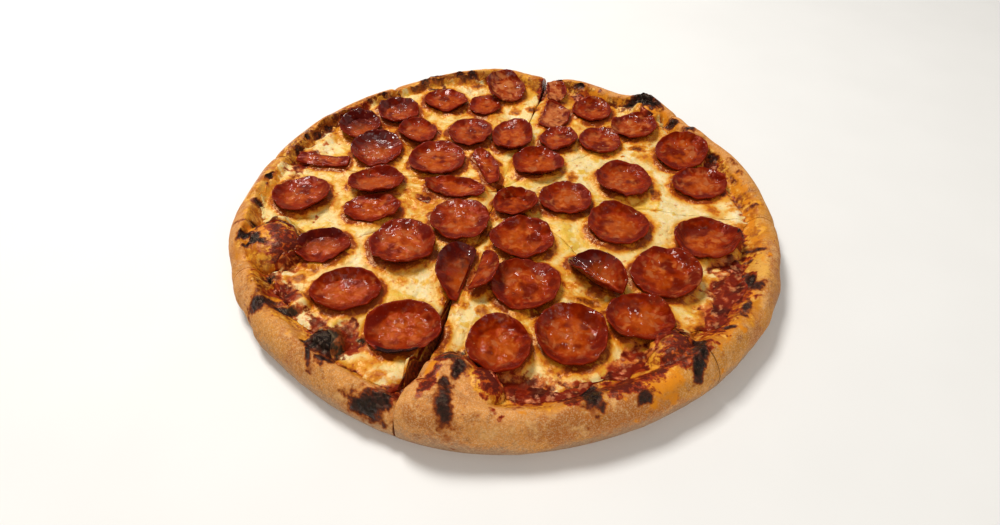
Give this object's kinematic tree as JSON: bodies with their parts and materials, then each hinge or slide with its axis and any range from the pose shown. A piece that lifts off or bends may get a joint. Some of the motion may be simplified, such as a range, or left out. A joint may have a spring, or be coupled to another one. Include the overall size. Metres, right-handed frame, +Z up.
{
  "type": "spicy sausage pizza",
  "caption": "Round baked pizza with a raised crust, cut into slices that lie together, topped with melted cheese and curled slices of spicy sausage.",
  "frame": {"origin": "middle of the pizza's outline, on the surface it lies on", "axes": "+Z up through the thickness; +Y away from the viewer of the picture; +X to the viewer's right"},
  "size_m": [0.2991, 0.2993, 0.0265],
  "materials": {
    "crust": "baked bread dough, golden brown, dry and slightly rough, with charred bubbles",
    "cheese": "melted mozzarella, pale yellow with toasted spots and a little oil",
    "sausage": "cured spicy sausage, deep red brown with fat flecks, crisp at the rim and oily"
  },
  "bodies": {
    "root": {"crust_1": "crust", "crust_2": "crust", "crust_3": "crust", "crust_4": "crust", "crust_5": "crust", "crust_6": "crust", "crust_7": "crust", "crust_8": "crust", "cheese_1": "cheese", "cheese_2": "cheese", "cheese_3": "cheese", "cheese_4": "cheese", "cheese_5": "cheese", "cheese_6": "cheese", "cheese_7": "cheese", "cheese_8": "cheese", "sausage_01": "sausage", "sausage_02": "sausage", "sausage_03": "sausage", "sausage_04": "sausage", "sausage_05": "sausage", "sausage_06": "sausage", "sausage_07": "sausage", "sausage_08": "sausage", "sausage_09": "sausage", "sausage_10": "sausage", "sausage_11": "sausage", "sausage_12": "sausage", "sausage_13": "sausage", "sausage_14": "sausage", "sausage_15": "sausage", "sausage_16": "sausage", "sausage_17": "sausage", "sausage_18": "sausage", "sausage_19": "sausage", "sausage_20": "sausage", "sausage_21": "sausage", "sausage_22": "sausage", "sausage_23": "sausage", "sausage_24": "sausage", "sausage_25": "sausage", "sausage_26": "sausage", "sausage_27": "sausage", "sausage_28": "sausage", "sausage_29": "sausage", "sausage_30": "sausage", "sausage_31": "sausage", "sausage_32": "sausage", "sausage_33": "sausage", "sausage_34": "sausage", "sausage_35": "sausage", "sausage_36": "sausage", "sausage_37": "sausage", "sausage_38": "sausage", "sausage_39": "sausage", "sausage_40": "sausage", "sausage_41": "sausage", "sausage_42": "sausage", "sausage_43": "sausage", "sausage_44": "sausage"}
  },
  "joints": []
}
